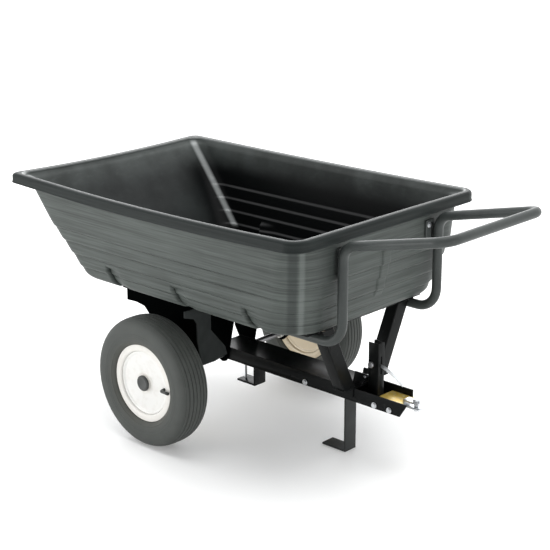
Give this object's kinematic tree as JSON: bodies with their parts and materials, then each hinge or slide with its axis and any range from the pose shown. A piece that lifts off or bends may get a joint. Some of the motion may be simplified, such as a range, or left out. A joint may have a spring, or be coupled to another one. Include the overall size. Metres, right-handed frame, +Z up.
{
  "type": "garden trailer",
  "caption": "Two-wheeled garden trailer: a moulded tub on a tube frame that tips back about the axle when its latch lever is lifted, with a pin hitch, a stand leg and a push handle.",
  "frame": {"origin": "on the ground, under the middle of the overall outline", "axes": "+X forwards, from the tub to the hitch; +Y to the trailer's left side; +Z up"},
  "size_m": [1.5901, 0.8478, 0.8101],
  "materials": {
    "tub_plastic": "satin",
    "black_paint": "gloss",
    "tyre_rubber": "matt",
    "white_paint": "gloss",
    "bright_zinc": "satin",
    "yellow_zinc": "satin",
    "black_plastic": "satin",
    "plain_steel": "satin",
    "nylon": "matt"
  },
  "bodies": {
    "chassis": {"tongue": "black_paint", "axle": "plain_steel", "axle_spacer_left": "black_paint", "axle_spacer_right": "black_paint", "stand_leg": "black_paint", "step_bracket": "black_paint", "latch_post": "black_paint", "latch_pivot_pin": "plain_steel", "latch_spring": "plain_steel", "hitch_plate": "yellow_zinc", "hitch_clevis": "bright_zinc", "tongue_bolt_1": "bright_zinc", "tongue_bolt_2": "bright_zinc", "tongue_bolt_3": "bright_zinc", "step_bolt": "bright_zinc", "stand_bolt": "bright_zinc", "post_bolt": "bright_zinc"},
    "tipping_body": {"tub": "tub_plastic", "handle_frame": "black_paint", "cross_bar_1": "black_paint", "cross_bar_2": "black_paint", "cross_bar_3": "black_paint", "handle_clamp_left": "black_paint", "handle_clamp_right": "black_paint", "axle_bracket_left": "black_paint", "axle_bracket_right": "black_paint", "axle_bush_left": "nylon", "axle_bush_right": "nylon", "centre_plate_left": "black_paint", "centre_plate_right": "black_paint", "strut_left": "black_paint", "strut_right": "black_paint", "latch_saddle": "black_paint", "striker_pin": "bright_zinc", "floor_bolt_1": "bright_zinc", "floor_bolt_2": "bright_zinc", "floor_bolt_3": "bright_zinc", "floor_bolt_4": "bright_zinc", "clamp_bolt_1": "bright_zinc", "clamp_bolt_2": "bright_zinc", "clamp_bolt_3": "bright_zinc", "clamp_bolt_4": "bright_zinc"},
    "wheel_left": {"tyre_left": "tyre_rubber", "rim_left": "white_paint", "disc_outer_left": "white_paint", "disc_inner_left": "white_paint", "hub_left": "white_paint", "wheel_bush_left": "plain_steel", "hub_cap_left": "black_plastic", "valve_left": "black_plastic"},
    "wheel_right": {"tyre_right": "tyre_rubber", "rim_right": "white_paint", "disc_outer_right": "white_paint", "disc_inner_right": "white_paint", "hub_right": "white_paint", "wheel_bush_right": "plain_steel", "hub_cap_right": "black_plastic", "valve_right": "black_plastic"},
    "latch_lever": {"latch_lever": "bright_zinc"},
    "hitch_pin": {"hitch_pin": "bright_zinc"}
  },
  "joints": [
    {"name": "tub_tip", "type": "hinge", "parent": "chassis", "child": "tipping_body", "pos_m": [-0.19425, 0, 0.2032], "axis": [0, -1, 0], "range_deg": [0, 55]},
    {"name": "wheel_left_spin", "type": "hinge", "parent": "chassis", "child": "wheel_left", "pos_m": [-0.19425, 0.3612, 0.2032], "axis": [0, 1, 0], "continuous": true},
    {"name": "wheel_right_spin", "type": "hinge", "parent": "chassis", "child": "wheel_right", "pos_m": [-0.19425, -0.3612, 0.2032], "axis": [0, 1, 0], "continuous": true},
    {"name": "latch_release", "type": "hinge", "parent": "chassis", "child": "latch_lever", "pos_m": [0.37675, 0, 0.303], "axis": [0, -1, 0], "range_deg": [0, 25]},
    {"name": "hitch_pin_lift", "type": "slide", "parent": "chassis", "child": "hitch_pin", "axis": [0, 0, 1], "range_m": [0, 0.055]}
  ]
}
